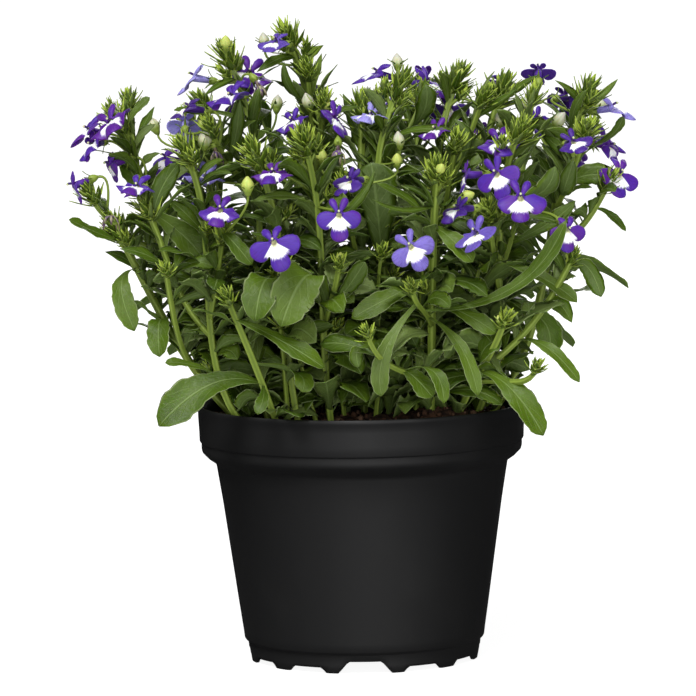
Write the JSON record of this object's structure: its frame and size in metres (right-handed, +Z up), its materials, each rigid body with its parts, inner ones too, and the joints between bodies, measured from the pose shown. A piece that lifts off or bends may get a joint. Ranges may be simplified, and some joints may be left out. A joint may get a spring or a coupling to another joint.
{
  "type": "potted trailing lobelia",
  "caption": "Trailing lobelia in a round nursery pot: fanned leafy sprays with small violet blooms that have white eyes.",
  "frame": {"origin": "on the ground under the middle of the plant's bounding box, which is also the pot's axis within about a millimetre", "axes": "+Z up along the pot's axis, -Y towards the side that the picture shows, +X to its right"},
  "size_m": [0.2063, 0.1812, 0.2379],
  "materials": {
    "pot": "satin black moulded plastic",
    "soil": "dark crumbly potting compost",
    "foliage": "soft matte green leaf and stem",
    "petals": "velvety violet petal with a white eye"
  },
  "bodies": {
    "root": {"pot": "pot", "soil": "soil", "spray_left_tall": "foliage", "spray_left_trailing": "foliage", "spray_left_front": "foliage", "spray_left_low": "foliage", "spray_front_left": "foliage", "spray_front_middle": "foliage", "spray_crown": "foliage", "spray_crown_left": "foliage", "spray_middle": "foliage", "spray_crown_middle": "foliage", "spray_front_tall": "foliage", "spray_crown_right": "foliage", "spray_right_front": "foliage", "spray_right_tall": "foliage", "spray_right_low": "foliage", "spray_back_left": "foliage", "spray_back_left_low": "foliage", "spray_back_middle": "foliage", "spray_back_low": "foliage", "spray_back_right": "foliage", "spray_far_right": "foliage", "bloom_01": "petals", "bloom_02": "petals", "bloom_03": "petals", "bloom_04": "petals", "bloom_05": "petals", "bloom_06": "petals", "bloom_07": "petals", "bloom_08": "petals", "bloom_09": "petals", "bloom_10": "petals", "bloom_11": "petals", "bloom_12": "petals", "bloom_13": "petals", "bloom_14": "petals", "bloom_15": "petals", "bloom_16": "petals", "bloom_17": "petals", "bloom_18": "petals", "bloom_19": "petals", "bloom_20": "petals", "bloom_21": "petals", "bloom_22": "petals", "bloom_23": "petals", "bloom_24": "petals", "bloom_25": "petals", "bloom_26": "petals", "bloom_27": "petals", "bloom_28": "petals", "bloom_29": "petals", "bloom_30": "petals", "bloom_31": "petals", "bloom_32": "petals", "bloom_33": "petals", "bloom_34": "petals", "bloom_35": "petals", "bloom_36": "petals", "bloom_37": "petals"}
  },
  "joints": []
}
